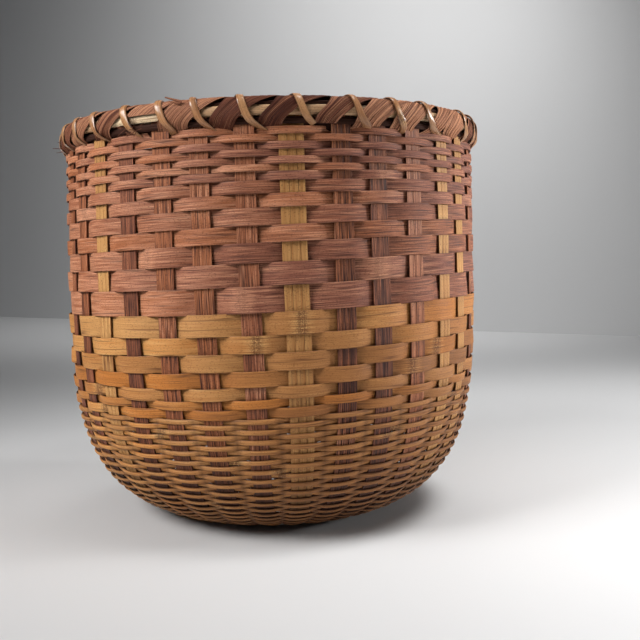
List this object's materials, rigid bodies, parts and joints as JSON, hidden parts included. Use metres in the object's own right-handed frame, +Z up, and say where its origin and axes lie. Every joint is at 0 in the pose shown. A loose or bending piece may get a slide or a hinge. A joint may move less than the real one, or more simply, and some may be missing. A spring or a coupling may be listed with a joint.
{
  "type": "bamboo basket",
  "caption": "Round open-topped farm basket plaited from split bamboo, with woven walls, a rounded foot, a flat base and a wrapped, bound rim.",
  "frame": {"origin": "centre of the footprint, on the surface that the basket stands on", "axes": "+Z up along the basket's axis, -Y towards the front, +X to the right seen from the front"},
  "size_m": [0.35, 0.3502, 0.312],
  "materials": {
    "smoked_bamboo": "satin, fibrous, smoke darkened",
    "tan_bamboo": "satin, smooth skin, yellowed",
    "pale_bamboo": "satin, pale split face",
    "dark_bamboo": "satin, dark brown strips"
  },
  "bodies": {
    "root": {"outer_hoop": "pale_bamboo", "inner_hoop": "pale_bamboo", "rim_wrap_left": "dark_bamboo", "rim_wrap_right": "dark_bamboo", "rim_binding_left": "tan_bamboo", "rim_binding_right": "tan_bamboo", "row_01_weaver": "smoked_bamboo", "row_02_weaver": "smoked_bamboo", "row_03_weaver": "smoked_bamboo", "row_04_weaver": "smoked_bamboo", "row_05_weaver": "smoked_bamboo", "row_06_weaver": "smoked_bamboo", "row_07_weaver": "smoked_bamboo", "row_08_weaver": "smoked_bamboo", "row_09_weaver": "smoked_bamboo", "row_10_weaver": "smoked_bamboo", "row_11_weaver": "smoked_bamboo", "row_12_weaver": "smoked_bamboo", "row_13_weaver": "smoked_bamboo", "row_14_weaver": "smoked_bamboo", "row_15_weaver": "tan_bamboo", "row_16_weaver": "tan_bamboo", "row_17_weaver": "tan_bamboo", "row_18_weaver": "tan_bamboo", "row_19_weaver": "tan_bamboo", "row_20_weaver": "tan_bamboo", "row_21_weaver": "tan_bamboo", "fine_weaver_a1": "tan_bamboo", "fine_weaver_a2": "tan_bamboo", "fine_weaver_a3": "tan_bamboo", "fine_weaver_a4": "tan_bamboo", "fine_weaver_b1": "tan_bamboo", "fine_weaver_b2": "tan_bamboo", "fine_weaver_b3": "tan_bamboo", "fine_weaver_b4": "tan_bamboo", "long_upright_strip_1": "smoked_bamboo", "long_upright_strip_2": "smoked_bamboo", "long_upright_strip_3": "smoked_bamboo", "long_upright_strip_4": "smoked_bamboo", "long_upright_strip_5": "tan_bamboo", "long_upright_strip_6": "smoked_bamboo", "long_upright_strip_7": "smoked_bamboo", "long_upright_strip_8": "smoked_bamboo", "long_upright_strip_9": "tan_bamboo", "cross_upright_strip_1": "tan_bamboo", "cross_upright_strip_2": "smoked_bamboo", "cross_upright_strip_3": "smoked_bamboo", "cross_upright_strip_4": "smoked_bamboo", "cross_upright_strip_5": "smoked_bamboo", "cross_upright_strip_6": "smoked_bamboo", "cross_upright_strip_7": "smoked_bamboo", "cross_upright_strip_8": "smoked_bamboo"}
  },
  "joints": []
}
